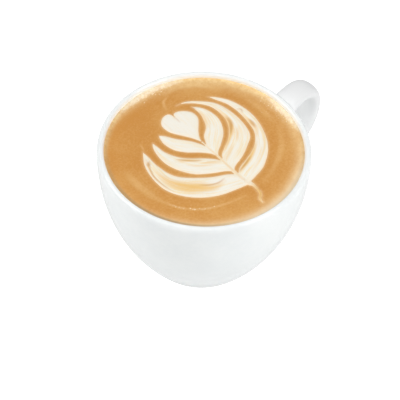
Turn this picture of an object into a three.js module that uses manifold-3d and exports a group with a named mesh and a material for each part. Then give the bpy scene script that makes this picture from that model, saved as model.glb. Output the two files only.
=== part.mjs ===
// A latte in its round porcelain cup, with a loop handle and a rosetta of milk foam on the drink.
// Millimetres, +Z up. The handle points along +X and the stem of the rosetta along -Y.
// The origin is the middle of the object's box, on the surface that the cup stands on.

import * as THREE from "three";
import { mergeVertices } from "three/addons/utils/BufferGeometryUtils.js";
import Module from "manifold-3d";

// Cup
const rimRadius = 50;            // outside of the lip
const cupHeight = 72.5;
const lipWidth = 2.6;            // the lip is a half round of this width
const heelRadius = 27;           // where the body ends, above the foot
const heelHeight = 1.7;
const bodyPower = 2.31;          // how late the body turns in towards the heel
const floorRadius = 19;          // flat bottom of the inside
const floorThickness = 8;
const footRadius = 25.2;         // foot ring, outside
const footHeight = 1;
const footWidth = 3.2;
const footRecess = 1.3;          // hollow under the base, inside the foot ring
const footChamfer = 0.5;

// Handle: a strap along a middle line in the XZ plane, from the upper root to the lower
// Its points are the distance from the cup's axis and the depth below the rim
const handlePath = [
  [47, 8.5], [55.5, 5], [64, 3.9], [69.6, 9.6],
  [68.6, 21], [62, 32.5], [52, 40], [40, 43],
];
const strapWidth = { root: 14.5, middle: 12 };
const strapThickness = { root: 8.5, middle: 6.5 };
const rootLength = 0.3;          // share of the strap that the flare of a root takes
const rootStop = 0.65;           // the roots end in the wall, this far from its inside

// Drink
const drinkLevel = 1.15;         // below the rim
const drinkGap = 0.3;            // between drink and wall
const meniscusHeight = 0.5;      // rise of the surface at the wall
const meniscusWidth = 2.2;

// Milk foam, seen from above and measured from the cup's axis, with +Y up the stem to the heart
const foamThickness = 0.5;
const heartTip = [2.2, 3.2];
const heartCleft = [2.7, 24.5];
// A flank of the heart runs from the cleft over to its side and then under to the tip, past two points each
const heartFlanks = [
  { over: [[0.5, 28.2], [-4.2, 26.4]], side: [-6, 21], under: [[-4.4, 16], [-0.9, 10.4]] },
  { over: [[5.5, 26.5], [9.8, 23.7]], side: [11.5, 19.3], under: [[9.6, 14.7], [5.2, 9.8]] },
];
// A leaf has two edges. Each leaves the stem at a height, passes two points and ends at the tip.
const leaves = [
  { tip: [13.8, 24.5], inner: [1, [8.1, 8.6], [12.8, 16]], outer: [-9, [11.2, 1.3], [18.9, 12.4]] },
  { tip: [8.8, 29.8], inner: [-11, [16.8, -0.1], [20.6, 17]], outer: [-20, [20.7, -6.6], [25.4, 15.2]] },
  { tip: [24, 23.8], inner: [-21, [20.2, -12.5], [28, 4.7]], outer: [-28.7, [24, -18.5], [32.2, 2.5]] },
  { tip: [-9.8, 20.3], inner: [1, [-1.7, 8], [-6.2, 13.9]], outer: [-8, [-4.8, 1.1], [-11.6, 9.7]] },
  { tip: [-15.8, 19], inner: [-9, [-7.9, -0.8], [-14.5, 8]], outer: [-18, [-11.9, -8.3], [-19.8, 4.7]] },
  { tip: [-23, 17.3], inner: [-19.5, [-13, -11], [-21.9, 1.6]], outer: [-29, [-20.4, -21.3], [-30.5, -2.8]] },
];
const stemPath = [
  [2.3, 4.5], [2, -10], [1.2, -19], [1.5, -27],
  [2.7, -31], [1.9, -36], [-1, -39.5], [-1.2, -42],
];
const stemWidth = { heart: 1.2, middle: 2.4, tail: 1 };
const tailShare = 0.15;          // share of the stem, at its end, that keeps the width of the tail

// Fineness of the faceted surfaces
const roundSegments = 72;
const bodySteps = 12;
const lipSteps = 6;
const strapSides = 20;
const strapSteps = 28;
const meniscusSteps = 4;
const edgeSteps = 14;
const stemSteps = 40;
const mergeDistance = 1e-4;

// Colours and finishes
const porcelain = { color: 0xf4f5f5, roughness: 0.16, metalness: 0 };
const crema = { color: 0xd4a061, roughness: 0.38, metalness: 0 };
const milk = { color: 0xf5f0e4, roughness: 0.45, metalness: 0 };

const wasm = await Module();
wasm.setup();

// Geometry helpers

// Shared corners merged, and the triangles that collapse on the axis dropped
function closedMesh(geometry) {
  geometry.deleteAttribute("normal");
  geometry.deleteAttribute("uv");
  const merged = mergeVertices(geometry, mergeDistance);
  const corners = merged.getIndex().array;
  const kept = [];
  for (let i = 0; i < corners.length; i += 3) {
    const [a, b, c] = corners.slice(i, i + 3);
    if (a !== b && b !== c && c !== a) kept.push(a, b, c);
  }
  merged.setIndex(kept);
  merged.computeVertexNormals();
  return merged;
}

function toSolid(geometry) {
  const mesh = closedMesh(geometry);
  return new wasm.Manifold(new wasm.Mesh({
    numProp: 3,
    vertProperties: new Float32Array(mesh.getAttribute("position").array),
    triVerts: new Uint32Array(mesh.getIndex().array),
  }));
}

function toGeometry(solid) {
  const mesh = solid.getMesh();
  const geometry = new THREE.BufferGeometry();
  geometry.setAttribute("position", new THREE.BufferAttribute(mesh.vertProperties, 3));
  geometry.setIndex(new THREE.BufferAttribute(mesh.triVerts, 1));
  geometry.computeVertexNormals();
  return geometry;
}

// A profile of radius and height, turned about the cup's axis
function turned(profile) {
  const points = profile.map(([radius, height]) => new THREE.Vector2(radius, height));
  return new THREE.LatheGeometry(points, roundSegments).rotateX(Math.PI / 2);
}

function namedMesh(name, geometry, finish) {
  const mesh = new THREE.Mesh(geometry, new THREE.MeshStandardMaterial(finish));
  mesh.name = name;
  return mesh;
}

// Cup body

function outerRadius(depth) {
  const share = depth / (cupHeight - heelHeight);
  return rimRadius - (rimRadius - heelRadius) * Math.pow(share, bodyPower);
}

function innerRadius(depth) {
  const mouth = rimRadius - lipWidth;
  const share = depth / (cupHeight - floorThickness);
  return mouth - (mouth - floorRadius) * Math.pow(share, bodyPower);
}

// Points of a wall between two depths below the rim, moved in by an inset
function wall(radiusAt, from, to, inset = 0) {
  const points = [];
  for (let i = 0; i <= bodySteps; i++) {
    const depth = from + (to - from) * i / bodySteps;
    points.push([radiusAt(depth) - inset, cupHeight - depth]);
  }
  return points;
}

function lipArc() {
  const half = lipWidth / 2;
  const points = [];
  for (let i = 1; i < lipSteps; i++) {
    const angle = Math.PI * i / lipSteps;
    points.push([rimRadius - half + half * Math.cos(angle), cupHeight - half + half * Math.sin(angle)]);
  }
  return points;
}

function footProfile() {
  const inside = footRadius - footWidth;
  return [
    [0, footRecess],
    [inside - footRecess, footRecess],
    [inside, 0],
    [footRadius - footChamfer, 0],
    [footRadius, footChamfer],
    [footRadius, footHeight],
  ];
}

function cupBody() {
  const lipDepth = lipWidth / 2;
  return turned([
    ...footProfile(),
    ...wall(outerRadius, cupHeight - heelHeight, lipDepth),
    ...lipArc(),
    ...wall(innerRadius, lipDepth, cupHeight - floorThickness),
    [0, floorThickness],
  ]);
}

// Handle

const handleCurve = new THREE.CatmullRomCurve3(
  handlePath.map(([x, depth]) => new THREE.Vector3(x, 0, cupHeight - depth)),
);

function flared({ root, middle }, along) {
  const toRoot = Math.max(0, 1 - Math.min(along, 1 - along) / rootLength);
  return middle + (root - middle) * toRoot * toRoot;
}

// A closed cylinder laid along the middle line and flattened to the strap's section
function strap() {
  const halfSide = Math.PI / strapSides;
  const geometry = new THREE.CylinderGeometry(1, 1, 1, strapSides, strapSteps, false, halfSide);
  const place = geometry.getAttribute("position");
  for (let i = 0; i < place.count; i++) {
    const along = place.getY(i) + 0.5;
    const middle = handleCurve.getPointAt(along);
    const tangent = handleCurve.getTangentAt(along);
    const outwards = place.getX(i) * flared(strapThickness, along) / 2;
    const sideways = place.getZ(i) * flared(strapWidth, along) / 2;
    place.setXYZ(i, middle.x - tangent.z * outwards, sideways, middle.z + tangent.x * outwards);
  }
  return geometry;
}

// The inside of the cup, widened into the wall, which keeps the roots out of the drink
function handleLimit() {
  const depth = cupHeight - floorThickness;
  return turned([[0, floorThickness], ...wall(innerRadius, depth, 0, -rootStop), [0, cupHeight]]);
}

function cup() {
  const handle = toSolid(strap()).subtract(toSolid(handleLimit()));
  return toGeometry(toSolid(cupBody()).add(handle));
}

// Drink: up to a level below the rim, drawn up a little at the wall

function drink() {
  const surface = cupHeight - drinkLevel;
  const edgeDepth = drinkLevel - meniscusHeight;
  const edge = innerRadius(edgeDepth) - drinkGap;
  const top = [];
  for (let i = 1; i <= meniscusSteps; i++) {
    const inwards = i / meniscusSteps;
    top.push([edge - meniscusWidth * inwards, surface + meniscusHeight * (1 - inwards) ** 2]);
  }
  return closedMesh(turned([
    [0, floorThickness + drinkGap],
    ...wall(innerRadius, cupHeight - floorThickness - drinkGap, edgeDepth, drinkGap),
    ...top,
    [0, surface],
  ]));
}

// Milk foam

// A smooth edge from start to end that passes two points, a third and two thirds of the way along
function edgeThrough(start, third, twoThirds, end) {
  const [p, q, r, s] = [start, third, twoThirds, end].map((point) => new THREE.Vector2(...point));
  const guide = (a, b, c, d) => new THREE.Vector2()
    .addScaledVector(a, -5 / 6)
    .addScaledVector(b, 3)
    .addScaledVector(c, -3 / 2)
    .addScaledVector(d, 1 / 3);
  return new THREE.CubicBezierCurve(p, guide(p, q, r, s), guide(s, r, q, p), s).getPoints(edgeSteps);
}

function plate(outline) {
  const shape = new THREE.Shape(outline);
  return toSolid(new THREE.ExtrudeGeometry(shape, { depth: foamThickness, bevelEnabled: false }));
}

function heart() {
  const [left, right] = heartFlanks.map(({ over, side, under }) => [
    ...edgeThrough(heartCleft, ...over, side),
    ...edgeThrough(side, ...under, heartTip).slice(1),
  ]);
  return plate([...left, ...right.slice(1, -1).reverse()]);
}

const stemCurve = new THREE.SplineCurve(stemPath.map((point) => new THREE.Vector2(...point)));

function stemAtHeight(height) {
  const points = stemCurve.getPoints(stemSteps);
  return [points.find((point) => point.y <= height).x, height];
}

function leaf({ tip, inner, outer }) {
  const [innerHeight, ...innerPoints] = inner;
  const [outerHeight, ...outerPoints] = outer;
  const out = edgeThrough(stemAtHeight(outerHeight), ...outerPoints, tip);
  const back = edgeThrough(stemAtHeight(innerHeight), ...innerPoints, tip).reverse();
  return plate([...out, ...back.slice(1)]);
}

// A ribbon along the stem, widest half way down
function stem() {
  const left = [];
  const right = [];
  for (let i = 0; i <= stemSteps; i++) {
    const along = i / stemSteps;
    const middle = stemCurve.getPointAt(along);
    const tangent = stemCurve.getTangentAt(along);
    const swell = Math.sin(Math.PI * Math.min(along / (1 - tailShare), 1)) ** 2;
    const least = along < 0.5 ? stemWidth.heart : stemWidth.tail;
    const half = (least + (stemWidth.middle - least) * swell) / 2;
    const across = new THREE.Vector2(tangent.y, -tangent.x).multiplyScalar(half);
    left.push(middle.clone().add(across));
    right.push(middle.clone().sub(across));
  }
  return plate([...left, ...right.reverse()]);
}

function milkFoam() {
  const joined = leaves.reduce((solid, shape) => solid.add(leaf(shape)), stem().add(heart()));
  return toGeometry(joined).translate(0, 0, cupHeight - drinkLevel);
}

// Assembly: the cup's axis stands off the origin, which is the middle of the box

const cupGeometry = cup();
cupGeometry.computeBoundingBox();
const { min, max } = cupGeometry.boundingBox;

const latte = new THREE.Group();
latte.position.x = -(min.x + max.x) / 2;
latte.add(namedMesh("cup", cupGeometry, porcelain));
latte.add(namedMesh("coffee", drink(), crema));
latte.add(namedMesh("milk_foam", milkFoam(), milk));

export default latte;
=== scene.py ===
import math

import bmesh
import bpy
import numpy as np
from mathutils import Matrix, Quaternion, Vector
from mathutils.geometry import delaunay_2d_cdt
from mathutils.kdtree import KDTree


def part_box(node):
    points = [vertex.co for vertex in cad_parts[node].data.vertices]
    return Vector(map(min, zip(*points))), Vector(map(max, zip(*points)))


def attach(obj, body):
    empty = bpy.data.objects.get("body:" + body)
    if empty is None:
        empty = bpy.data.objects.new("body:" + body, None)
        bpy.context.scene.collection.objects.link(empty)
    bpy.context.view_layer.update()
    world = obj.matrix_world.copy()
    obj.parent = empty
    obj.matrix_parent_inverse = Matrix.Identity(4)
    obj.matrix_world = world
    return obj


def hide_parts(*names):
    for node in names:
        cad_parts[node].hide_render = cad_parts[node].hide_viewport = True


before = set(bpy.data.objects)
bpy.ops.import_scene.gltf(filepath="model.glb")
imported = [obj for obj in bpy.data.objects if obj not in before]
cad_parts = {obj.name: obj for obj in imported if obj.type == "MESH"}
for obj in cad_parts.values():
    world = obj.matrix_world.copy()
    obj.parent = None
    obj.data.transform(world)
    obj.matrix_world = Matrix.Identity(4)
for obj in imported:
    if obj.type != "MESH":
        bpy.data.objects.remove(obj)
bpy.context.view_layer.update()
scene = bpy.context.scene
scene.view_settings.view_transform = "Standard"

mm = 0.001                                   # the shapes below are in millimetres
drinkLow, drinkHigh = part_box("coffee")
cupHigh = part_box("cup")[1]
axisX = (drinkLow.x + drinkHigh.x) / 2       # the cup's axis stands off the origin
drinkLevel = 2.3                             # depth of the drink's surface below the rim
print("frame loaded, cup axis at", round(axisX / mm, 2), "mm")


# Small helpers for node trees and colours

def tint(red, green, blue):
    def linear(value):
        share = value / 255
        return share / 12.92 if share <= 0.04045 else ((share + 0.055) / 1.055) ** 2.4
    return linear(red), linear(green), linear(blue), 1.0


def socketOf(sockets, key):
    if isinstance(key, int):
        return sockets[key]
    return next(socket for socket in sockets if socket.name == key and socket.enabled)


def addNode(tree, kind, inputs=None, **settings):
    node = tree.nodes.new(kind)
    for name, value in settings.items():
        setattr(node, name, value)
    for key, value in (inputs or {}).items():
        socket = socketOf(node.inputs, key)
        if isinstance(value, bpy.types.NodeSocket):
            tree.links.new(value, socket)
        else:
            socket.default_value = value
    return node


def mathOf(tree, operation, *values, clamp=False):
    node = addNode(tree, "ShaderNodeMath", dict(enumerate(values)), operation=operation, use_clamp=clamp)
    return node.outputs[0]


def mixColour(tree, factor, first, second):
    node = addNode(tree, "ShaderNodeMix", {0: factor, 6: first, 7: second}, data_type="RGBA")
    return node.outputs[2]


def ramp(tree, value, low, high, toLow=0.0, toHigh=1.0):
    inputs = {"Value": value, "From Min": low, "From Max": high, "To Min": toLow, "To Max": toHigh}
    return addNode(tree, "ShaderNodeMapRange", inputs, interpolation_type="SMOOTHSTEP").outputs["Result"]


def attribute(tree, name):
    return addNode(tree, "ShaderNodeAttribute", attribute_name=name).outputs["Fac"]


def newMaterial(name):
    material = bpy.data.materials.new(name)
    material.use_nodes = True
    tree = material.node_tree
    return material, tree, tree.nodes["Principled BSDF"]


def addSocket(tree, name, direction, kind, value=None):
    socket = tree.interface.new_socket(name, in_out=direction, socket_type="NodeSocket" + kind)
    if value is not None:
        socket.default_value = value
    return socket.identifier


def shapeInputs(tree, kinds):
    addSocket(tree, "Geometry", "INPUT", "Geometry")
    ids = {name: addSocket(tree, name, "INPUT", kind, value) for name, (kind, value) in kinds.items()}
    addSocket(tree, "Geometry", "OUTPUT", "Geometry")
    return ids


# Shader groups that the finishes share

def mottleGroup():
    tree = bpy.data.node_groups.new("mottle", "ShaderNodeTree")
    addSocket(tree, "Coarse Scale", "INPUT", "Float", 60.0)
    addSocket(tree, "Fine Scale", "INPUT", "Float", 600.0)
    addSocket(tree, "Fine Share", "INPUT", "Float", 0.4)
    addSocket(tree, "Mask", "OUTPUT", "Float")
    given = addNode(tree, "NodeGroupInput").outputs
    place = addNode(tree, "ShaderNodeTexCoord").outputs["Object"]
    layers = []
    for name in ("Coarse Scale", "Fine Scale"):
        inputs = {"Vector": place, "Scale": given[name], "Detail": 3.0, "Roughness": 0.55}
        layers.append(addNode(tree, "ShaderNodeTexNoise", inputs).outputs["Fac"])
    coarse, fine = layers
    joined = addNode(tree, "ShaderNodeMix", {0: given["Fine Share"], 2: coarse, 3: fine}).outputs[0]
    noiseRange = (0.3, 0.7)       # these become 0 and 1
    addNode(tree, "NodeGroupOutput", {"Mask": ramp(tree, joined, *noiseRange)})
    return tree


def microfoamGroup():
    tree = bpy.data.node_groups.new("microfoam", "ShaderNodeTree")
    addSocket(tree, "Scale", "INPUT", "Float", 2500.0)
    addSocket(tree, "Dome", "OUTPUT", "Float")
    addSocket(tree, "Speck", "OUTPUT", "Float")
    given = addNode(tree, "NodeGroupInput").outputs
    place = addNode(tree, "ShaderNodeTexCoord").outputs["Object"]
    cells = addNode(tree, "ShaderNodeTexVoronoi", {"Vector": place, "Scale": given["Scale"]})
    domeReach = 0.6               # from a cell's middle
    brightTones = (0.55, 0.95)    # the cells that show as specks
    dome = ramp(tree, cells.outputs["Distance"], 0.0, domeReach, 1.0, 0.0)
    tone = addNode(tree, "ShaderNodeSeparateColor", {"Color": cells.outputs["Color"]}).outputs[0]
    speck = mathOf(tree, "MULTIPLY", dome, ramp(tree, tone, *brightTones))
    addNode(tree, "NodeGroupOutput", {"Dome": dome, "Speck": speck})
    return tree


mottle = mottleGroup()
microfoam = microfoamGroup()


def placeGroup(tree, group, values):
    return addNode(tree, "ShaderNodeGroup", values, node_tree=group)


def cloudMask(tree, coarse, fine, share):
    values = {"Coarse Scale": coarse, "Fine Scale": fine, "Fine Share": share}
    return placeGroup(tree, mottle, values).outputs["Mask"]


def addBump(tree, shader, height, strength, distance):
    bump = addNode(tree, "ShaderNodeBump", {"Height": height, "Strength": strength, "Distance": distance})
    tree.links.new(bump.outputs["Normal"], shader.inputs["Normal"])


# Finishes; a cloud is the scales of a coarse and a fine mottle and the share of the fine one

porcelainLook = {
    "glaze": tint(245, 247, 246),
    "thinGlaze": tint(239, 242, 242),
    "bareClay": tint(224, 219, 209),
    "glazeEdge": (0.42 * mm, 0.7 * mm),      # heights between which the bare foot ring ends
    "cloud": (45.0, 420.0, 0.3),
    "roughness": (0.10, 0.17),
    "bareRoughness": 0.75,
    "bump": 0.012,
    "refraction": 1.5,
}


def porcelainFinish(look):
    material, tree, shader = newMaterial("porcelain")
    place = addNode(tree, "ShaderNodeTexCoord").outputs["Object"]
    height = addNode(tree, "ShaderNodeSeparateXYZ", {"Vector": place}).outputs["Z"]
    cloud = cloudMask(tree, *look["cloud"])
    glazed = ramp(tree, height, *look["glazeEdge"])
    glaze = mixColour(tree, cloud, look["glaze"], look["thinGlaze"])
    tree.links.new(mixColour(tree, glazed, look["bareClay"], glaze), shader.inputs["Base Color"])
    smooth = ramp(tree, cloud, 0.0, 1.0, *look["roughness"])
    rough = addNode(tree, "ShaderNodeMix", {0: glazed, 2: look["bareRoughness"], 3: smooth}).outputs[0]
    tree.links.new(rough, shader.inputs["Roughness"])
    addBump(tree, shader, cloud, look["bump"], mm)
    shader.inputs["IOR"].default_value = look["refraction"]
    return material


cremaLook = {
    "tan": tint(215, 161, 92),
    "deep": tint(204, 142, 69),
    "swirl": tint(230, 186, 124),
    "pale": tint(244, 217, 163),
    "cream": tint(250, 226, 186),
    # near-white foam; it is also the tone of the painted highlight in the far foam wash
    "foam": tint(253, 243, 222),
    # tone of the painted reflection of the white lip on the drink by the wall
    "paintedLipReflection": tint(235, 218, 191),
    "shade": tint(158, 136, 104),
    "cloud": (55.0, 900.0, 0.45),
    "patches": (420.0, 1500.0, 0.4),         # they break up the pale marks
    "leastPatch": 0.55,
    "deepening": 0.5,
    "bubbleScale": 2600.0,
    "leastSpecks": 0.12,                     # away from the foam
    "roughness": (0.34, 0.46),
    "bump": 0.10,
    "bumpHeight": 0.2 * mm,
    "shine": 0.2,
    "bubbleCloud": (300.0, 2500.0, 0.5),
    "bubbleRoughness": 0.22,
}


def cremaFinish(look):
    material, tree, shader = newMaterial("crema")
    cloud = cloudMask(tree, *look["cloud"])
    bubbles = placeGroup(tree, microfoam, {"Scale": look["bubbleScale"]})
    foam = attribute(tree, "foam")
    light = mathOf(tree, "MULTIPLY_ADD", attribute(tree, "deep"), -look["deepening"], cloud, clamp=True)
    colour = mixColour(tree, light, look["deep"], look["tan"])
    broken = ramp(tree, cloudMask(tree, *look["patches"]), 0.0, 1.0, look["leastPatch"], 1.0)
    # The marks that makeDrink paints, each with its tone, from the lowest to the highest
    # the foam wash is milk foam along the wall, and on the far side a painted highlight
    for mark, tone in (("swirl", "swirl"), ("ring", "pale"), ("foamWashAndHighlight", "foam")):
        amount = mathOf(tree, "MULTIPLY", attribute(tree, mark), broken)
        colour = mixColour(tree, amount, colour, look[tone])
    # then the painted reflection of the white lip, the painted shade under the lip and the cream by the
    # milk
    for mark, tone in (("paintedLipReflection", "paintedLipReflection"), ("shade", "shade"), ("milkEdge", "cream")):
        colour = mixColour(tree, attribute(tree, mark), colour, look[tone])
    amount = ramp(tree, foam, 0.0, 1.0, look["leastSpecks"], 1.0)
    specks = mathOf(tree, "MULTIPLY", bubbles.outputs["Speck"], amount)
    colour = mixColour(tree, specks, colour, look["foam"])
    tree.links.new(colour, shader.inputs["Base Color"])
    tree.links.new(ramp(tree, cloud, 0.0, 1.0, *look["roughness"]), shader.inputs["Roughness"])
    addBump(tree, shader, bubbles.outputs["Dome"], look["bump"], look["bumpHeight"])
    shader.inputs["Specular IOR Level"].default_value = look["shine"]
    return material


milkLook = {
    "white": tint(243, 238, 226),
    "cream": tint(244, 224, 184),
    "tan": tint(238, 196, 124),
    "brown": tint(205, 150, 84),
    "edge": tint(243, 216, 170),
    "strands": (0.42, 0.66),                 # range of the noise from white to cream
    "brokenTan": (0.3, 0.55, 0.75, 1.0),     # range of the noise, and strengths of the tan there
    "cloud": (120.0, 1200.0, 0.4),
    "bubbleScale": 3400.0,
    "roughness": (0.36, 0.5),
    "bump": 0.06,
    "bumpHeight": 0.15 * mm,
    "shine": 0.3,
}


def milkFinish(look):
    material, tree, shader = newMaterial("milkFoam")
    leafPlace = addNode(tree, "ShaderNodeAttribute", attribute_name="leafPlace").outputs["Vector"]
    inputs = {"Vector": leafPlace, "Scale": 1.0, "Detail": 4.0, "Roughness": 0.6}
    noise = addNode(tree, "ShaderNodeTexNoise", inputs).outputs["Fac"]
    strands = mathOf(tree, "MULTIPLY", ramp(tree, noise, *look["strands"]), attribute(tree, "marble"))
    tan = mathOf(tree, "MULTIPLY", attribute(tree, "tan"), ramp(tree, noise, *look["brokenTan"]))
    colour = mixColour(tree, strands, look["white"], look["cream"])
    colour = mixColour(tree, attribute(tree, "rim"), colour, look["edge"])
    colour = mixColour(tree, tan, colour, look["tan"])
    colour = mixColour(tree, attribute(tree, "brown"), colour, look["brown"])
    tree.links.new(colour, shader.inputs["Base Color"])
    cloud = cloudMask(tree, *look["cloud"])
    tree.links.new(ramp(tree, cloud, 0.0, 1.0, *look["roughness"]), shader.inputs["Roughness"])
    bubbles = placeGroup(tree, microfoam, {"Scale": look["bubbleScale"]})
    addBump(tree, shader, bubbles.outputs["Dome"], look["bump"], look["bumpHeight"])
    shader.inputs["Specular IOR Level"].default_value = look["shine"]
    return material


def bubbleFinish(look):
    material, tree, shader = newMaterial("bubble")
    cloud = cloudMask(tree, *look["bubbleCloud"])
    tree.links.new(mixColour(tree, cloud, look["pale"], look["foam"]), shader.inputs["Base Color"])
    shader.inputs["Roughness"].default_value = look["bubbleRoughness"]
    return material


porcelain = porcelainFinish(porcelainLook)
crema = cremaFinish(cremaLook)
milkFoam = milkFinish(milkLook)
bubbleSkin = bubbleFinish(cremaLook)
print("finishes made")


# A profile turned about the cup's axis, as a node tree

def turningTree():
    tree = bpy.data.node_groups.new("turnedProfile", "GeometryNodeTree")
    ids = shapeInputs(tree, {
        "Segments": ("Int", 64), "Axis X": ("Float", 0.0), "Merge Distance": ("Float", mm),
        "Material": ("Material", None),
    })
    given = addNode(tree, "NodeGroupInput").outputs
    profile = given["Geometry"]
    rows = addNode(tree, "GeometryNodeAttributeDomainSize", {"Geometry": profile}).outputs["Point Count"]
    columns = addNode(tree, "FunctionNodeIntegerMath", {0: given["Segments"], 1: 1}).outputs[0]
    inputs = {"Vertices X": rows, "Vertices Y": columns}
    grid = addNode(tree, "GeometryNodeMeshGrid", inputs).outputs["Mesh"]
    index = addNode(tree, "GeometryNodeInputIndex").outputs[0]
    row, column = (
        addNode(tree, "FunctionNodeIntegerMath", {0: index, 1: columns}, operation=operation).outputs[0]
        for operation in ("DIVIDE_FLOOR", "MODULO")
    )
    place = addNode(tree, "GeometryNodeInputPosition").outputs[0]
    inputs = {"Geometry": profile, "Value": place, "Index": row}
    point = addNode(tree, "GeometryNodeSampleIndex", inputs, data_type="FLOAT_VECTOR").outputs[0]
    turn = mathOf(tree, "DIVIDE", column, given["Segments"])
    angle = mathOf(tree, "MULTIPLY_ADD", turn, 2 * math.pi, math.pi)
    inputs = {"Vector": point, "Angle": angle}
    turned = addNode(tree, "ShaderNodeVectorRotate", inputs, rotation_type="Z_AXIS").outputs[0]
    offset = addNode(tree, "ShaderNodeCombineXYZ", {"X": given["Axis X"]}).outputs[0]
    inputs = {"Geometry": grid, "Position": turned, "Offset": offset}
    moved = addNode(tree, "GeometryNodeSetPosition", inputs).outputs[0]
    inputs = {"Geometry": moved, "Distance": given["Merge Distance"]}
    merged = addNode(tree, "GeometryNodeMergeByDistance", inputs).outputs[0]
    real = addNode(tree, "GeometryNodeRealizeInstances", {"Geometry": merged}).outputs[0]
    inputs = {"Geometry": real, "Material": given["Material"]}
    painted = addNode(tree, "GeometryNodeSetMaterial", inputs).outputs[0]
    addNode(tree, "NodeGroupOutput", {"Geometry": painted})
    return tree, ids


turnedProfile, turnedIds = turningTree()
mergeGap = 0.002 * mm       # closes the seam and the points on the axis


def addObject(name, data):
    piece = bpy.data.objects.new(name, data)
    scene.collection.objects.link(piece)
    return piece


def plainMesh(name, startMesh, tree, values):
    worker = addObject("worker", startMesh)
    modifier = worker.modifiers.new("nodes", "NODES")
    modifier.node_group = tree
    for identifier, value in values.items():
        modifier[identifier] = value
    depsgraph = bpy.context.evaluated_depsgraph_get()
    mesh = bpy.data.meshes.new_from_object(worker.evaluated_get(depsgraph), depsgraph=depsgraph)
    mesh.name = name
    bpy.data.objects.remove(worker)
    return mesh


def turnedMesh(name, profile, segments, material):
    line = bpy.data.meshes.new(name + "Profile")
    points = [(radius * mm, 0, height * mm) for radius, height in profile]
    line.from_pydata(points, [(i, i + 1) for i in range(len(points) - 1)], [])
    given = {"Segments": segments, "Axis X": axisX, "Merge Distance": mergeGap, "Material": material}
    return plainMesh(name, line, turnedProfile, {turnedIds[key]: value for key, value in given.items()})


# Cup: a turned body with two windows in its wall, which the strap of the handle grows out of

cupShape = {
    "rimRadius": 50.0, "height": 72.5, "lipWidth": 3.3,
    "lipOutside": (1.6, 2.9),        # the rounding outside: its reach inwards and down the wall
    "lipInside": 1.6,
    "heelRadius": 27.0, "heelHeight": 1.7, "bodyPower": 2.31,
    "floorRadius": 19.0, "floorThickness": 8.0,
    "floorRings": (17.5, 9, 0),      # radii of the points of the floor inside
    "foot": [(0, 1.3), (9, 1.3), (17, 1.3), (20.3, 1.3), (21.2, 0.9), (21.9, 0.25), (22.3, 0), (23.6, 0),
             (24.7, 0), (25.1, 0.25), (25.3, 0.8), (25.9, 1.3)],
    "wallDepths": [70.8, 69.4, 67, 64, 60.5, 56.5, 52.5, 48.3, 44.1, 39.9, 35.7, 30, 24, 18, 13.4, 9.6, 5.8,
                   3.6, 2.2, 1.1, 0.4, 0],
    "insideDepths": [2.2, 5, 12, 20, 28, 36, 44, 50, 55, 59, 62, 64],
    "lipSteps": 4,
    "segments": 80,
    "smoothing": 2,
}
handleShape = {
    # Distances from the axis and depths below the rim
    "path": [(46, 9.8), (51.4, 5.7), (56.6, 3.5), (62, 3.2), (66.8, 6.5), (68.8, 13.8), (66.8, 24),
             (60.4, 33.2), (51.6, 39.8), (40, 43)],
    "pathSteps": 200,
    "width": {"root": 14.6, "middle": 12.4},
    "thickness": {"root": 8.2, "middle": 6.6},
    "rootLength": 0.3,
    "span": (0.08, 0.915),           # share of the path between the fillets of the roots
    "rings": 22,
    "squareness": 2.0,
    "windowColumns": 4,
    "upperWindow": [3.6, 5.8, 9.6, 13.4],   # depths of its rows, which are rows of the wall
    "lowerWindow": [48.3, 44.1, 39.9, 35.7],
    "windowCorner": 0.2,             # share that rounds the corners of the windows
}


def cageFactor(steps):
    return 3 / (2 + math.cos(2 * math.pi / steps))       # smoothing draws a cage in by this


def outerRadius(depth, shape=cupShape):
    share = depth / (shape["height"] - shape["heelHeight"])
    reach, drop = shape["lipOutside"]
    above = max(0, 1 - depth / drop)
    rounding = reach * (1 - math.sqrt(1 - above ** 2))
    taper = shape["rimRadius"] - shape["heelRadius"]
    return shape["rimRadius"] - rounding - taper * share ** shape["bodyPower"]


def innerRadius(depth, shape=cupShape):
    mouth = shape["rimRadius"] - shape["lipWidth"]
    share = depth / (shape["height"] - shape["floorThickness"])
    return mouth - (mouth - shape["floorRadius"]) * share ** shape["bodyPower"]


def cupProfile(shape):
    bend = shape["lipInside"]
    mouth = shape["rimRadius"] - shape["lipWidth"]
    lip = []
    for i in range(1, shape["lipSteps"] + 1):
        angle = math.pi / 2 * i / shape["lipSteps"]
        lip.append((mouth + bend * (1 - math.sin(angle)), shape["height"] - bend * (1 - math.cos(angle))))
    outside = [(outerRadius(depth), shape["height"] - depth) for depth in shape["wallDepths"]]
    inside = [(innerRadius(depth), shape["height"] - depth) for depth in shape["insideDepths"]]
    floor = [(radius, shape["floorThickness"]) for radius in shape["floorRings"]]
    points = shape["foot"] + outside + lip + inside + floor
    wide = cageFactor(shape["segments"])
    return [(radius * wide, height) for radius, height in points]


def splinePoint(points, share):
    place = share * (len(points) - 1)
    i = min(int(place), len(points) - 2)
    w = place - i
    around = [min(max(k, 0), len(points) - 1) for k in range(i - 1, i + 3)]
    p0, p1, p2, p3 = (np.array(points[k], float) for k in around)
    square = (2 * p0 - 5 * p1 + 4 * p2 - p3) * w ** 2
    cube = (3 * p1 - p0 - 3 * p2 + p3) * w ** 3
    return 0.5 * (2 * p1 + (p2 - p0) * w + square + cube)


def alongLine(line):
    return np.concatenate([[0], np.cumsum(np.linalg.norm(np.diff(line[:, :2], axis=0), axis=1))])


def splineLine(points, steps, fineness=20):
    raw = np.array([splinePoint(points, share) for share in np.linspace(0, 1, fineness * steps)])
    run = alongLine(raw)
    even = np.linspace(0, run[-1], steps + 1)
    return np.stack([np.interp(even, run, raw[:, k]) for k in range(raw.shape[1])], -1)


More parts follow.
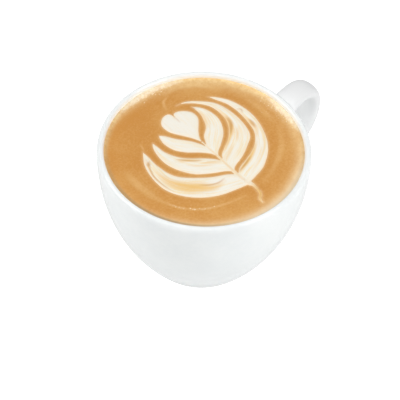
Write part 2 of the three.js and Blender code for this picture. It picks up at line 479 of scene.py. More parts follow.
def windowPlaces(shape):
    columns, rows = shape["windowColumns"], len(shape["upperWindow"]) - 1
    top = [(i, 0) for i in range(columns + 1)]
    side = [(columns, j) for j in range(1, rows + 1)]
    bottom = [(i, rows) for i in range(columns - 1, -1, -1)]
    back = [(0, j) for j in range(rows - 1, 0, -1)]
    return top + side + bottom + back


def strapRings(shape):
    steps, power = shape["pathSteps"], shape["squareness"]
    line = splineLine(shape["path"], steps)
    places = windowPlaces(shape)
    columns, rows = shape["windowColumns"], len(shape["upperWindow"]) - 1
    stretch = cageFactor(len(places))
    rings = []
    for along in np.linspace(*shape["span"], shape["rings"]):
        k = min(max(int(round(along * steps)), 1), steps - 1)
        centre = line[k]
        tangent = line[k + 1] - line[k - 1]
        tangent = tangent / np.linalg.norm(tangent) * (1, -1)       # depths run down
        flare = max(0, 1 - min(along, 1 - along) / shape["rootLength"]) ** 2
        halfWidth, halfThickness = (
            stretch * (size["middle"] + (size["root"] - size["middle"]) * flare) / 2
            for size in (shape["width"], shape["thickness"])
        )
        ring = []
        for i, j in places:
            side, out = 2 * i / columns - 1, 1 - 2 * j / rows
            reach = (abs(side) ** power + abs(out) ** power) ** (1 / power)
            away = out / reach * halfThickness
            ring.append(Vector((
                axisX + (centre[0] - tangent[1] * away) * mm,
                side / reach * halfWidth * mm,
                (cupShape["height"] - centre[1] + tangent[0] * away) * mm,
            )))
        rings.append(ring)
    return rings


def wallPoint(depth, angle):
    radius = outerRadius(depth) * cageFactor(cupShape["segments"])
    spot = radius * math.cos(angle), radius * math.sin(angle), cupShape["height"] - depth
    return Vector(spot) * mm + Vector((axisX, 0, 0))


def windowLoop(build, finder, depths, shape):
    columns, corner = shape["windowColumns"], shape["windowCorner"]
    middle = sum(depths) / len(depths)
    loop = []
    for i, j in windowPlaces(shape):
        depth, angle = depths[j], (i - columns / 2) * 2 * math.pi / cupShape["segments"]
        vert = build.verts[finder.find(wallPoint(depth, angle))[1]]
        if i in (0, columns) and j in (0, len(depths) - 1):
            vert.co = wallPoint(depth + corner * (middle - depth), angle * (1 - corner))
        loop.append(vert)
    return loop


def makeCup():
    mesh = turnedMesh("cupBody", cupProfile(cupShape), cupShape["segments"], porcelain)
    build = bmesh.new()
    build.from_mesh(mesh)
    bmesh.ops.recalc_face_normals(build, faces=build.faces)
    build.verts.ensure_lookup_table()
    finder = KDTree(len(build.verts))
    for vert in build.verts:
        finder.insert(vert.co, vert.index)
    finder.balance()
    windowRows = [handleShape["upperWindow"], handleShape["lowerWindow"]]
    windows = [windowLoop(build, finder, rows, handleShape) for rows in windowRows]
    halfAngle = handleShape["windowColumns"] * math.pi / cupShape["segments"]
    cut = []
    for face in build.faces:
        middle = face.calc_center_median() - Vector((axisX, 0, 0))
        depth = cupShape["height"] - middle.z / mm
        inWindow = any(min(rows) < depth < max(rows) for rows in windowRows)
        if inWindow and abs(math.atan2(middle.y, middle.x)) < halfAngle and face.normal.x > 0:
            cut.append(face)
    bmesh.ops.delete(build, geom=cut, context="FACES")
    strap = [[build.verts.new(spot) for spot in ring] for ring in strapRings(handleShape)]
    loops = [windows[0], *strap, windows[1]]
    for first, second in zip(loops, loops[1:]):
        for k in range(len(first)):
            after = (k + 1) % len(first)
            build.faces.new((first[k], first[after], second[after], second[k]))
    bmesh.ops.recalc_face_normals(build, faces=build.faces)
    build.to_mesh(mesh)
    build.free()
    mesh.shade_smooth()
    cup = addObject("porcelainCup", mesh)
    smooth = cup.modifiers.new("smooth", "SUBSURF")
    smooth.levels = smooth.render_levels = cupShape["smoothing"]
    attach(cup, "root")
    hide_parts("cup")
    return cup


cup = makeCup()
print("cup made:", len(cup.data.polygons), "cage faces")


# Milk foam: a heart, three leaves on each side and a stem, as one low skin on the drink

rosettaShape = {
    "heartTip": (2.2, 3.2),
    "heartCleft": (2.7, 24.5),
    "heartFlanks": [
        {"over": [(0.5, 28.2), (-4.2, 26.4)], "side": (-6, 21), "under": [(-4.4, 16), (-0.9, 10.4)]},
        {"over": [(5.5, 26.5), (9.8, 23.7)], "side": (11.5, 19.3), "under": [(9.6, 14.7), (5.2, 9.8)]},
    ],
    # A leaf's two edges run from the stem to its tip
    "leaves": [
        {"inner": [(2, 0.5), (3.2, 3), (5.4, 6.5), (9.8, 10.3), (12.5, 15.7), (13.3, 19.5), (13.2, 24.4)],
         "outer": [(2, -8.6), (3.8, -5.7), (8.8, -2.4), (14.2, 2.2), (17.9, 8.8), (18.4, 15), (16.5, 21),
                   (13.2, 24.4)]},
        {"inner": [(1.9, -11), (3.8, -7.9), (7.3, -5.5), (13.1, -2), (18.1, 3.4), (20.5, 9.5),
                   (20.4, 17.6), (16.9, 23.6), (12, 28), (8.2, 29.5)],
         "outer": [(1.6, -20), (3.8, -17.5), (10.4, -15.2), (17.3, -11.4), (22.7, -7.2), (25.4, 1.1),
                   (25.7, 11), (23.7, 18.8), (18.8, 24.5), (13.5, 28.6), (8.2, 29.5)]},
        {"inner": [(1.4, -22), (5, -19.1), (11.5, -17), (18.5, -13.9), (23.8, -9.1), (26.4, -3.5),
                   (27.9, 6), (27.5, 13.8), (25.2, 19.9), (23.6, 24)],
         "outer": [(1.6, -29.3), (6.9, -28.3), (14.2, -26), (22.3, -20.2), (27.5, -13.3), (31.3, -3.9),
                   (32.4, 5), (30.8, 14.2), (26.9, 21.1), (23.6, 24)]},
        {"inner": [(1.9, 0.8), (0.6, 4.2), (-1.7, 8.3), (-5.9, 13.7), (-8.6, 18.2), (-10.6, 20.3)],
         "outer": [(1.9, -8.5), (0.3, -4.2), (-3.2, -0.3), (-7.8, 3.7), (-11.4, 8.8), (-12.5, 14.5),
                   (-11.6, 19), (-10.6, 20.3)]},
        {"inner": [(1.6, -10.8), (-0.5, -7.5), (-4.4, -3.6), (-9, 0.2), (-12.7, 4.5), (-15.2, 10.2),
                   (-15.7, 15), (-16, 18.6)],
         "outer": [(1.3, -20), (-1.3, -17.1), (-8.5, -13), (-14.4, -8.3), (-18.6, -0.9), (-20.1, 6),
                   (-19.2, 12.9), (-17.4, 17.2), (-16, 18.6)]},
        {"inner": [(1.2, -21.5), (-2.2, -18.5), (-9.9, -14.4), (-18.5, -7.3), (-22.3, -1.5), (-23.5, 7),
                   (-23.1, 13.5), (-23.2, 17.2)],
         "outer": [(0.8, -29.6), (-4.9, -28.5), (-12.2, -26.6), (-19.9, -22.5), (-26.7, -15.7),
                   (-30.6, -7.5), (-30.7, 1.5), (-28.4, 10), (-25, 15.2), (-23.2, 17.2)]},
    ],
    # Points of the stem and its tail, each with the width there
    "stem": [(2.2, 4.5, 0.9), (1.9, -8, 1.4), (1.3, -18, 2), (1.3, -25.5, 2.6), (1.9, -28.8, 3.2),
             (2.6, -31.6, 1.9), (2.2, -34.5, 1.5), (1.8, -36.9, 1.5), (0.8, -38.3, 1.6),
             (-0.5, -39.1, 1.6), (-1.1, -40.9, 1.3), (-1.3, -42.4, 0.8)],
    "shift": (0.75, 0.8),   # of the whole figure from the cup's axis
    "scale": 0.99,
    "crown": 0.22,          # height of the middle of a leaf above the drink
    "crownWidth": 2.4,
    "sink": 0.03,           # depth of the edge below the drink
    "under": 0.25,          # depth of the flat underside
    "spacing": 0.42,        # between the points of the mesh
    "clearance": 0.6,       # of the inner points from the edge, as a share of the spacing
    "closest": 0.1,         # share of the spacing that points along an edge keep apart
    "edgeSteps": 60,
    "creamyEdge": {"width": 0.5625, "strength": 0.9},
    "marbling": (0.5, 0.25, 0.8, 1.0, 1.0, 0.5, 0.9, 1.0),   # of the stem, the heart and each leaf
    "marbleFrom": 1.2,      # distance from the edge where it is full
    # Strands in a leaf: samples along and across it, stretch along, density across, step between leaves
    "strands": {"along": 90, "across": 25, "stretch": 3.2, "density": 1.1, "leafStep": 7.3},
}


def edgeThrough(start, third, twoThirds, end, steps):
    p, q, r, s = (np.array(point, float) for point in (start, third, twoThirds, end))
    first = (-5 * p + 18 * q - 9 * r + 2 * s) / 6
    second = (2 * p - 9 * q + 18 * r - 5 * s) / 6
    t = np.linspace(0, 1, steps + 1)[:, None]
    return (1 - t) ** 3 * p + 3 * (1 - t) ** 2 * t * first + 3 * (1 - t) * t ** 2 * second + t ** 3 * s


def heartEdges(shape, steps):
    edges = []
    for flank in shape["heartFlanks"]:
        over = edgeThrough(shape["heartCleft"], *flank["over"], flank["side"], steps)
        under = edgeThrough(flank["side"], *flank["under"], shape["heartTip"], steps)
        edges.append(np.concatenate([over, under[1:]]))
    return edges


def stemEdges(shape, steps):
    line = splineLine(shape["stem"], 2 * steps)
    path, half = line[:, :2], line[:, 2:] / 2
    tangent = np.gradient(path, axis=0)
    tangent /= np.linalg.norm(tangent, axis=1)[:, None]
    across = np.stack([tangent[:, 1], -tangent[:, 0]], -1) * half
    return [path + across, path - across]


def nearest(points, targets):
    finder = KDTree(len(targets))
    for i, (x, y) in enumerate(targets):
        finder.insert((x, y, 0), i)
    finder.balance()
    found = [finder.find((x, y, 0)) for x, y in points]
    return np.array([hit[2] for hit in found]), np.array([hit[1] for hit in found])


def evenly(line, gap):
    run = alongLine(line)
    even = np.linspace(0, run[-1], max(2, int(round(run[-1] / gap)) + 1))
    return np.stack([np.interp(even, run, line[:, k]) for k in range(2)], -1)


def rosettaPatches(shape):
    steps = shape["edgeSteps"]
    leaves = [[splineLine(leaf[name], steps) for name in ("inner", "outer")] for leaf in shape["leaves"]]
    return [stemEdges(shape, steps), heartEdges(shape, steps)] + leaves


def rosettaFlat(shape, patches):
    gap = shape["spacing"]
    outlines = []
    for first, second in patches:
        line = np.concatenate([evenly(first, gap)[:-1], evenly(second, gap)[::-1]])
        apart = np.linalg.norm(line - np.roll(line, 1, axis=0), axis=1) > shape["closest"] * gap
        outlines.append(line[apart])
    allEdges = np.concatenate(outlines)
    low, high = allEdges.min(0), allEdges.max(0)
    rowGap = gap * math.sqrt(3) / 2
    grid = np.array([
        (x + (k % 2) * gap / 2, y)
        for k, y in enumerate(np.arange(low[1], high[1], rowGap))
        for x in np.arange(low[0], high[0], gap)
    ])
    grid = grid[nearest(grid, allEdges)[0] > shape["clearance"] * gap]
    points = [Vector(p) for p in allEdges] + [Vector(p) for p in grid]
    loops, first = [], 0
    for line in outlines:
        loops.append(list(range(first, first + len(line))))
        first += len(line)
    weld = 1e-5
    verts, _, faces, _, _, sources = delaunay_2d_cdt(points, [], loops, 1, weld)
    faces = [face for face, source in zip(faces, sources) if source]
    used = sorted({i for face in faces for i in face})
    renumber = {old: new for new, old in enumerate(used)}
    flat = np.array([verts[i][:] for i in used])
    return flat, [[renumber[i] for i in face] for face in faces]


def rimEdges(faces):
    seen = {}
    for face in faces:
        for k in range(len(face)):
            a, b = face[k], face[(k + 1) % len(face)]
            seen.setdefault((min(a, b), max(a, b)), []).append((a, b))
    return [hits[0] for hits in seen.values() if len(hits) == 1]


def leafPlaces(points, patches, strands):
    shares = np.linspace(0, 1, strands["along"])
    along, across = np.meshgrid(shares, np.linspace(0, 1, strands["across"]), indexing="ij")
    samples, places, patch = [], [], []
    for number, edges in enumerate(patches):
        first, second = (
            np.stack([np.interp(shares, np.linspace(0, 1, len(edge)), edge[:, k]) for k in range(2)], -1)
            for edge in edges
        )
        spot = first[:, None] * (1 - across[..., None]) + second[:, None] * across[..., None]
        samples.append(spot.reshape(-1, 2))
        width = np.linalg.norm(second - first, axis=1)[:, None]
        sideways = (across - 0.5) * width * strands["density"]
        level = np.full_like(along, strands["leafStep"] * number)
        places.append(np.stack([along * strands["stretch"], sideways, level], -1).reshape(-1, 3))
        patch.append(np.full(along.size, number))
    hit = nearest(points, np.concatenate(samples))[1]
    return np.concatenate(places)[hit], np.concatenate(patch)[hit]


def setFloats(mesh, name, values, kind="FLOAT"):
    layer = mesh.attributes.new(name, kind, "POINT")
    key = "value" if kind == "FLOAT" else "vector"
    layer.data.foreach_set(key, np.asarray(values, np.float32).ravel())


# Streaks of coffee drawn into the milk: a path, half of its width along it, and how strong it is
tailPath = [(2.6, -31.6), (2.2, -34.5), (1.8, -36.9), (0.8, -38.3), (-0.5, -39.1), (-1.1, -40.9),
            (-1.6, -43)]
caramelStreaks = [
    {"path": [(-26.6, 3), (-26.4, -3), (-25, -7.5), (-21.5, -13), (-17, -17), (-12, -20.8), (-6, -21)],
     "half": (0.9, 2, 2.7, 3, 2.9, 2, 1), "strength": 1.0},
    {"path": [(-26.2, 10.2), (-28.2, 6.4), (-29.2, 2.2), (-29.5, -3.6), (-29, -8)],
     "half": (0.6, 0.45), "strength": 0.7},
    {"path": [(-14.6, 2.8), (-10, -0.8), (-5.2, -4.9)], "half": (1.5, 1, 0.7), "strength": 0.7},
    {"path": [(-13, -2.6), (-8.4, -6.8), (-3, -10.6)], "half": (0.55,), "strength": 0.45},
    {"path": [(-8, -5.4), (-3, -8.4), (0.9, -11.2)], "half": (0.5, 1, 0.8), "strength": 0.55},
    {"path": [(13.9, 20.5), (13.3, 15.5), (11, 11.3), (7, 7.6)], "half": (0.9, 0.7), "strength": 0.5},
    {"path": [(15, 17.5), (13.4, 11.5), (10.4, 8)], "half": (0.45,), "strength": 0.3},
    {"path": [(20.9, 15), (21, 9.5), (20.5, 6), (17.6, 0.6), (12, -3.2), (5.6, -7.4)],
     "half": (0.9, 1.5, 1), "strength": 0.85},
    {"path": [(21.2, 0.4), (18.5, -2.8), (15.2, -6.4)], "half": (0.8,), "strength": 0.5},
    {"path": [(2.6, -12), (7.5, -9.4), (12.4, -6.6)], "half": (1.2, 0.9), "strength": 0.4},
    {"path": [(24.5, 14), (24.7, 6.5), (23.6, -1), (20, -7)], "half": (0.55,), "strength": 0.4},
    {"path": [(28.2, 4), (28.2, -1), (27.5, -6), (24.6, -10)], "half": (0.6, 1.2, 0.7), "strength": 0.7},
    {"path": [(2.8, -20.9), (9.5, -19), (16, -16.3), (21.5, -12.6)],
     "half": (1.4, 1.1, 0.7), "strength": 0.9},
    {"path": [(31.2, 2), (30.2, -5.5), (26.4, -13.5), (20.4, -19.4)], "half": (0.55,), "strength": 0.35},
    {"path": [(22, -17), (15, -21.6), (7, -25)], "half": (0.6,), "strength": 0.3},
    {"path": [(2, 3), (1.8, -8), (1.3, -18), (1.5, -29)], "half": (0.45, 0.6, 0.9), "strength": 0.5},
    {"path": [(2, -29.6), *tailPath], "half": (1.4, 1.6), "strength": 1.0},
]
brownStreaks = [
    {"path": [(-24.9, 11), (-26.3, 9.6), (-27.5, 7.8)], "half": (0.5, 0.95, 0.4), "strength": 0.75},
    {"path": [(-14.2, 3.3), (-11, -0.2), (-8.6, -2.5), (-5.8, -4.6)], "half": (0.4,), "strength": 0.65},
    {"path": [(-16.6, -15.4), (-13, -18.3), (-9, -19.9), (-5, -19.7)], "half": (0.45,), "strength": 0.6},
    {"path": [(21.7, 8.5), (20.6, 4.4), (18.4, 1.6), (15.4, -1.3)],
     "half": (0.8, 0.9, 0.4), "strength": 0.8},
    {"path": [(13.2, 24.3), (13.2, 23.2), (13.6, 21.8)], "half": (0.6,), "strength": 0.5},
    {"path": [(28.9, 9), (30.1, 7.7), (29.4, 5.6)], "half": (0.4,), "strength": 0.5},
    {"path": [(28.9, 0.6), (28.4, -2.4), (27.6, -5.4)], "half": (0.5, 0.9, 0.5), "strength": 0.65},
    {"path": [(3.2, -21), (8.5, -19.4), (13.4, -17.6)], "half": (0.5,), "strength": 0.75},
    {"path": tailPath, "half": (1.2,), "strength": 0.3},
    {"path": [(-25.2, 12.1), (-26.9, 8.6), (-28.2, 5.7), (-29.4, 1.4), (-29.4, -5), (-28.3, -10.7)],
     "half": (0.8, 0.4, 0.3, 0.3), "strength": 0.6},
    {"path": [(2.7, 25), (2.6, 22.6), (2.4, 20)], "half": (0.4,), "strength": 0.35},
]
streakShape = {"steps": 60, "gap": 0.15, "tip": 0.02, "edgePower": 3}


def paintStreaks(points, streaks, shape=streakShape):
    mask = np.zeros(len(points))
    for streak in streaks:
        line = evenly(splineLine(streak["path"], shape["steps"]), shape["gap"])
        gap, spot = nearest(points, line)
        along = spot / (len(line) - 1)
        half = np.interp(along, np.linspace(0, 1, len(streak["half"])), streak["half"])
        ends = np.sqrt(np.sin(np.pi * np.clip(along, shape["tip"], 1 - shape["tip"])))
        mask = np.maximum(mask, streak["strength"] * ends * np.exp(-(gap / half) ** shape["edgePower"]))
    return mask


def makeRosetta(shape):
    patches = rosettaPatches(shape)
    flat, faces = rosettaFlat(shape, patches)
    rim = rimEdges(faces)
    starts, ends = flat[[a for a, b in rim]], flat[[b for a, b in rim]]
    rimLine = np.concatenate([starts * (1 - t) + ends * t for t in (0, 1 / 3, 2 / 3)])
    inside = nearest(flat, rimLine)[0]
    share = np.minimum(inside / shape["crownWidth"], 1)
    rise = -shape["sink"] + (shape["crown"] + shape["sink"]) * (1 - (1 - share) ** 2)
    count = len(flat)
    level = cupShape["height"] - drinkLevel
    spots = flat * shape["scale"] + shape["shift"]
    top = np.column_stack([spots, level + rise])
    bottom = np.column_stack([spots, np.full(count, level - shape["under"])])
    points = np.concatenate([top, bottom]) * mm + (axisX, 0, 0)
    walls = [(b, a, a + count, b + count) for a, b in rim]
    below = [[i + count for i in reversed(face)] for face in faces]
    mesh = bpy.data.meshes.new("rosetta")
    mesh.from_pydata(points.tolist(), [], faces + below + walls)
    mesh.materials.append(milkFoam)
    places, patch = leafPlaces(flat, patches, shape["strands"])
    marbling = np.array(shape["marbling"])[patch]
    edge = shape["creamyEdge"]
    marks = {
        "rim": edge["strength"] * np.exp(-inside / edge["width"]),
        "tan": paintStreaks(flat, caramelStreaks),
        "brown": paintStreaks(flat, brownStreaks),
        "marble": marbling * np.clip(inside / shape["marbleFrom"], 0, 1),
    }
    for name, values in marks.items():
        setFloats(mesh, name, np.tile(values, 2))
    setFloats(mesh, "leafPlace", np.tile(places, (2, 1)), "FLOAT_VECTOR")
    mesh.shade_smooth()
    rosetta = addObject("milkRosetta", mesh)
    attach(rosetta, "root")
    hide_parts("milk_foam")
    return rosetta, rimLine


rosetta, rosettaRim = makeRosetta(rosettaShape)
print("rosetta made:", len(rosetta.data.polygons), "faces")


# Drink: a turned body with a fine surface that carries the marks of the crema

drinkShape = {
    "meniscusHeight": 0.2,
    "meniscusWidth": 2.2,
    "shadeWidth": 2.1,
    "shadePower": 8,            # sharpness of the shade's inner edge
    # width of the painted reflection of the white lip on the drink
    "lipReflectionWidth": 3.0,
    "deepRing": {"strength": 0.4, "from": 1.6, "width": 2.2},   # deeper colour close round the milk
    "milkEdge": {"strength": 0.35, "width": 0.4},
    "intoWall": 0.12,           # the edge reaches this far into the porcelain
    "floorInset": 1.0,
    "wallDepths": [63, 56, 48, 38, 28, 18, 8, 3],
    "surfaceRows": 105,
    "segments": 320,
}
# Along the wall: angle from the handle, width and strength of the pale foam, the painted reflection of the
# white lip, the painted shade of the lip
wallMarks = [
    (-180, 2.8, 0.3, 0, 0.5), (-165, 2.6, 0.4, 0.15, 0.75), (-150, 2.6, 0.5, 0.35, 0.8),
    (-135, 3, 0.55, 0.5, 0.65), (-120, 3.4, 0.55, 0.65, 0.4), (-105, 4, 0.5, 0.8, 0.1),
    (-90, 4.4, 0.6, 0.85, 0), (-60, 4.4, 0.75, 0.65, 0), (-45, 4.4, 0.7, 0.2, 0), (-30, 4.2, 0.7, 0, 0),
    (-15, 4.2, 0.95, 0, 0), (0, 4.2, 1, 0, 0), (30, 5, 0.85, 0, 0), (60, 4.6, 0.9, 0, 0),
    (90, 4.4, 1, 0, 0), (120, 1.9, 1, 0, 0), (150, 1.3, 0.45, 0, 0.1), (180, 2.8, 0.3, 0, 0.5),
]
foamPatches = [(-4, 16, 5.5), (84, 16, 5.0)]        # bubbles: angle from the handle, spread of it, width
foamAndHighlightStreaks = [                                     # milk foam drawn out along the wall; the second streak, on the far side, is also a painted highlight
    {"path": [(45.4, 7), (45.5, 1), (45.2, -6), (44.7, -11), (43.6, -16), (42.2, -20.5)],
     "half": (1, 2, 1.7, 1), "strength": 0.8},
    {"path": [(-15, 43.6), (-8, 45.5), (-2, 46.2), (4, 46.1), (9, 45.2), (15, 43.4), (21, 40.7)],
     "half": (1.3, 2.4, 2.2, 1.3), "strength": 0.9},
]
longSwirl = [(-34.8, -15.2), (-31.5, -20.9), (-27.4, -25.2), (-22.8, -28.4), (-17.6, -30.6)]
bubbleChains = [                                    # rows of bubbles drawn out on the swirls
    {"path": [(-36.4, -10.5), *longSwirl], "half": (0.5,), "strength": 0.9},
]
deepSide = {"angle": 125, "from": 12, "to": 40}     # the crema is deeper in colour on this side
cremaSwirls = [
    {"path": [(9.2, 36.8), (5.1, 35.2), (3.3, 31.8), (2.6, 29.9)], "half": (0.6, 0.8), "strength": 0.75},
    {"path": [(-37.4, 12), (-38.2, 6), (-38, -1), (-37.4, -7), (-36.2, -12)],
     "half": (1.8, 2, 1.2), "strength": 0.6},
    {"path": [(-37, -8), *longSwirl, (-11, -32.6), (-4, -33.9)], "half": (0.8, 0.6), "strength": 0.6},
    {"path": [(36.5, -12), (31, -20.1), (23.4, -26.2), (14.5, -30.6), (6.4, -33)],
     "half": (1.4,), "strength": 0.45},
    {"path": [(36.8, 12.5), (37.8, 1.1), (36.8, -8.3)], "half": (1.5,), "strength": 0.45},
    {"path": [(5.1, 38), (12, 38.6), (19.5, 36.8), (25.8, 31.8), (31, 24)],
     "half": (1.4,), "strength": 0.5},
    {"path": [(-20.9, 21.8), (-21.5, 19.8), (-22.2, 17.4)], "half": (0.5,), "strength": 0.5},
]


def drinkProfile(shape):
    height = cupShape["height"]
    level = height - drinkLevel
    edgeDepth = drinkLevel - shape["meniscusHeight"]
    edge = innerRadius(edgeDepth) + shape["intoWall"]
    floor = cupShape["floorThickness"] - shape["intoWall"]
    wall = [(innerRadius(depth) + shape["intoWall"], height - depth) for depth in shape["wallDepths"]]
    top = []
    for radius in np.linspace(edge, 0, shape["surfaceRows"] + 1):
        rise = max(0, 1 - (edge - radius) / shape["meniscusWidth"]) ** 2
        top.append((radius, level + shape["meniscusHeight"] * rise))
    corner = cupShape["floorRadius"] - shape["floorInset"]
    return [(radius, floor) for radius in (0, corner)] + wall + top


def makeDrink(shape):
    mesh = turnedMesh("drink", drinkProfile(shape), shape["segments"], crema)
    build = bmesh.new()
    build.from_mesh(mesh)
    bmesh.ops.recalc_face_normals(build, faces=build.faces)
    build.to_mesh(mesh)
    build.free()
    places = np.empty(len(mesh.vertices) * 3)
    mesh.vertices.foreach_get("co", places)
    places = places.reshape(-1, 3) / mm - (axisX / mm, 0, 0)
    flat = places[:, :2]
    angle = np.degrees(np.arctan2(flat[:, 1], flat[:, 0]))
    toWall = innerRadius(drinkLevel) - np.linalg.norm(flat, axis=1)
    angles, *columns = np.array(wallMarks).T
    ringWidth, pale, paintedLipReflection, shade = (np.interp(angle, angles, column) for column in columns)
    onFigure = (flat - rosettaShape["shift"]) / rosettaShape["scale"]
    foam = paintStreaks(onFigure, bubbleChains)
    for middle, spread, width in foamPatches:
        off = (angle - middle + 180) % 360 - 180
        foam = np.maximum(foam, np.exp(-(off / spread) ** 2 - (toWall / width) ** 2))
    gap = nearest(onFigure, rosettaRim)[0]
    sideAngle = math.radians(deepSide["angle"])
    toSide = flat @ (math.cos(sideAngle), math.sin(sideAngle))
    deep = np.clip((toSide - deepSide["from"]) / (deepSide["to"] - deepSide["from"]), 0, 1)
    near, milk = shape["deepRing"], shape["milkEdge"]
    marks = {
        "deep": np.maximum(deep, near["strength"] * np.exp(-((gap - near["from"]) / near["width"]) ** 2)),
        "shade": shade * np.exp(-(toWall / shape["shadeWidth"]) ** shape["shadePower"]),
        # painted reflection of the white lip, palest by the wall
        "paintedLipReflection": paintedLipReflection * np.exp(-(toWall / shape["lipReflectionWidth"]) ** 2),
        "ring": pale * np.exp(-(toWall / ringWidth) ** 2),
        "foam": foam,
        # milk foam along the wall, with a painted highlight on the far side
        "foamWashAndHighlight": paintStreaks(flat, foamAndHighlightStreaks),
        "swirl": paintStreaks(onFigure, cremaSwirls),
        "milkEdge": milk["strength"] * np.exp(-gap / milk["width"]),
    }
    for name, values in marks.items():
        setFloats(mesh, name, values)
    mesh.shade_smooth()
    drink = addObject("cremaDrink", mesh)
    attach(drink, "root")
    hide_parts("coffee")
    return drink


drink = makeDrink(drinkShape)
print("drink made:", len(drink.data.polygons), "faces")


# Bubbles of foam scattered by the wall and along a swirl

bubbleShape = {
    "density": 1.1e6, "crowding": 2.0, "smallest": 0.10 * mm, "largest": 0.32 * mm, "flatness": 0.7,
    "segments": 8, "rings": 5, "seed": 7,
}


def bubbleTree():
    tree = bpy.data.node_groups.new("foamBubbles", "GeometryNodeTree")
    ids = shapeInputs(tree, {
        "Density": ("Float", 1.0), "Crowding": ("Float", 1.0), "Smallest": ("Float", mm),
        "Largest": ("Float", mm), "Flatness": ("Float", 1.0), "Segments": ("Int", 8), "Rings": ("Int", 4),
        "Seed": ("Int", 0), "Material": ("Material", None),
    })
    given = addNode(tree, "NodeGroupInput").outputs
    foam = addNode(tree, "GeometryNodeInputNamedAttribute", {"Name": "foam"}, data_type="FLOAT").outputs[0]
    crowd = mathOf(tree, "POWER", foam, given["Crowding"])
    density = mathOf(tree, "MULTIPLY", crowd, given["Density"])
    inputs = {"Mesh": given["Geometry"], "Density": density, "Seed": given["Seed"]}
    points = addNode(tree, "GeometryNodeDistributePointsOnFaces", inputs).outputs["Points"]
    inputs = {"Min": given["Smallest"], "Max": given["Largest"], "Seed": given["Seed"]}
    size = addNode(tree, "FunctionNodeRandomValue", inputs, data_type="FLOAT")
    radius = socketOf(size.outputs, "Value")
    low = mathOf(tree, "MULTIPLY", radius, given["Flatness"])
    scale = addNode(tree, "ShaderNodeCombineXYZ", {"X": radius, "Y": radius, "Z": low}).outputs[0]
    inputs = {"Segments": given["Segments"], "Rings": given["Rings"], "Radius": 1.0}
    ball = addNode(tree, "GeometryNodeMeshUVSphere", inputs).outputs["Mesh"]
    inputs = {"Points": points, "Instance": ball, "Scale": scale}
    placed = addNode(tree, "GeometryNodeInstanceOnPoints", inputs).outputs[0]
    real = addNode(tree, "GeometryNodeRealizeInstances", {"Geometry": placed}).outputs[0]
    smooth = addNode(tree, "GeometryNodeSetShadeSmooth", {"Geometry": real}).outputs[0]
    inputs = {"Geometry": smooth, "Material": given["Material"]}
    painted = addNode(tree, "GeometryNodeSetMaterial", inputs).outputs[0]
    addNode(tree, "NodeGroupOutput", {"Geometry": painted})
    return tree, ids


def makeBubbles(shape):
    tree, ids = bubbleTree()
    values = {ids[name.capitalize()]: value for name, value in shape.items()}
    values[ids["Material"]] = bubbleSkin
    mesh = plainMesh("bubbles", drink.data.copy(), tree, values)
    bubbles = addObject("foamBubbles", mesh)
    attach(bubbles, "root")
    return bubbles


bubbles = makeBubbles(bubbleShape)
print("bubbles made:", len(bubbles.data.polygons), "faces")


# Floor, light and camera

stageLook = {
    "floorSize": 6.0,
    "floor": (tint(186, 186, 186), tint(190, 190, 190)),
    "floorCloud": (6.0, 90.0, 0.3),
    "floorRoughness": 0.9,
    "floorShine": 0.1,
    "floorGlow": 0.19,          # the floor is a lit table,
    "floorSeen": 0.56,          # which the camera sees brighter by this
    "floorMirrored": 0.17,      # and the glaze by this
    "world": (0.985, 0.998, 1.0, 1.0),
    "worldStrength": 0.405,
    "worldSeen": 0.6,           # added where the camera sees it,
    "worldMirrored": 0.3,       # in the reflections,
    "worldDeep": 0.7,           # and where light gets only by way of other surfaces,
    "deepBounces": 1.5,         # more than this many of them
}
# Softboxes: place from the cup's rim, by turn and height in degrees and distance in metres, size and power
softboxes = [
    {"name": "keyLight", "turn": -145, "lift": 55, "away": 1.2, "size": 1.6, "power": 1.3},
    {"name": "rightLight", "turn": -70, "lift": 42, "away": 1.0, "size": 0.55, "power": 5.0},
    {"name": "leftLight", "turn": 136, "lift": 39, "away": 1.3, "size": 0.9, "power": 7.8},
]
cameraAim = {
    "azimuth": -43.2, "elevation": 48.2, "distance": 1.0, "roll": 2.13,
    "lens": 194.0, "frame": 400, "rimPixel": (204.4, 147.6),
}
rimCentre = Vector((axisX, 0, cupHigh.z))


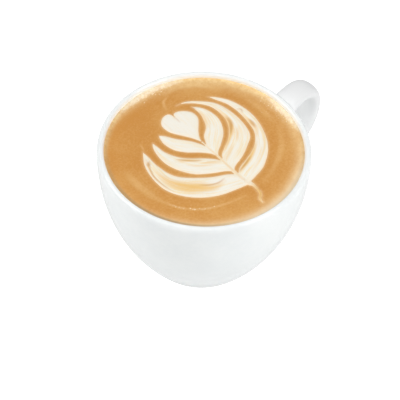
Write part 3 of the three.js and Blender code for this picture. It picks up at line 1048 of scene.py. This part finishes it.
def makeFloor(look):
    half = look["floorSize"] / 2
    mesh = bpy.data.meshes.new("floor")
    corners = [(-half, -half, 0), (half, -half, 0), (half, half, 0), (-half, half, 0)]
    mesh.from_pydata(corners, [], [(0, 1, 2, 3)])
    material, tree, shader = newMaterial("paleFloor")
    cloud = cloudMask(tree, *look["floorCloud"])
    tree.links.new(mixColour(tree, cloud, *look["floor"]), shader.inputs["Base Color"])
    shader.inputs["Roughness"].default_value = look["floorRoughness"]
    shader.inputs["Specular IOR Level"].default_value = look["floorShine"]
    shader.inputs["Emission Color"].default_value = (1, 1, 1, 1)
    path = addNode(tree, "ShaderNodeLightPath").outputs
    glow = mathOf(tree, "MULTIPLY_ADD", path["Is Camera Ray"], look["floorSeen"], look["floorGlow"])
    glow = mathOf(tree, "MULTIPLY_ADD", path["Is Glossy Ray"], look["floorMirrored"], glow)
    tree.links.new(glow, shader.inputs["Emission Strength"])
    mesh.materials.append(material)
    floor = addObject("floor", mesh)


def makeLights(look, boxes):
    world = bpy.data.worlds.new("studio")
    world.use_nodes = True
    scene.world = world
    tree = world.node_tree
    background = tree.nodes["Background"]
    background.inputs["Color"].default_value = look["world"]
    path = addNode(tree, "ShaderNodeLightPath").outputs
    deep = mathOf(tree, "GREATER_THAN", path["Diffuse Depth"], look["deepBounces"])
    strength = look["worldStrength"]
    rays = {"worldMirrored": path["Is Glossy Ray"], "worldDeep": deep, "worldSeen": path["Is Camera Ray"]}
    for name, share in rays.items():
        strength = mathOf(tree, "MULTIPLY_ADD", share, look[name], strength)
    tree.links.new(strength, background.inputs["Strength"])
    for box in boxes:
        lamp = bpy.data.lights.new(box["name"], "AREA")
        lamp.shape = "DISK"
        lamp.size = box["size"]
        lamp.energy = box["power"]
        light = addObject(box["name"], lamp)
        turn, lift = math.radians(box["turn"]), math.radians(box["lift"])
        way = Vector((math.cos(turn) * math.cos(lift), math.sin(turn) * math.cos(lift), math.sin(lift)))
        light.location = rimCentre + way * box["away"]
        light.rotation_euler = way.to_track_quat("Z", "Y").to_euler()


def makeCamera(aim):
    lens = bpy.data.cameras.new("camera")
    lens.lens = aim["lens"]
    camera = addObject("camera", lens)
    turn, lift = math.radians(aim["azimuth"]), math.radians(aim["elevation"])
    back = Vector((math.sin(turn) * math.cos(lift), -math.cos(turn) * math.cos(lift), math.sin(lift)))
    camera.location = rimCentre + back * aim["distance"]
    pixels = aim["lens"] / lens.sensor_width * aim["frame"]
    across, down = (math.atan((place - aim["frame"] / 2) / pixels) for place in aim["rimPixel"])
    look = (-back).to_track_quat("-Z", "Y")
    look = look @ Quaternion((0, 0, 1), math.radians(aim["roll"]))
    look = look @ Quaternion((0, 1, 0), across) @ Quaternion((1, 0, 0), down)
    camera.rotation_euler = look.to_euler()
    scene.camera = camera


makeFloor(stageLook)
makeLights(stageLook, softboxes)
makeCamera(cameraAim)
print("stage, lights and camera made")
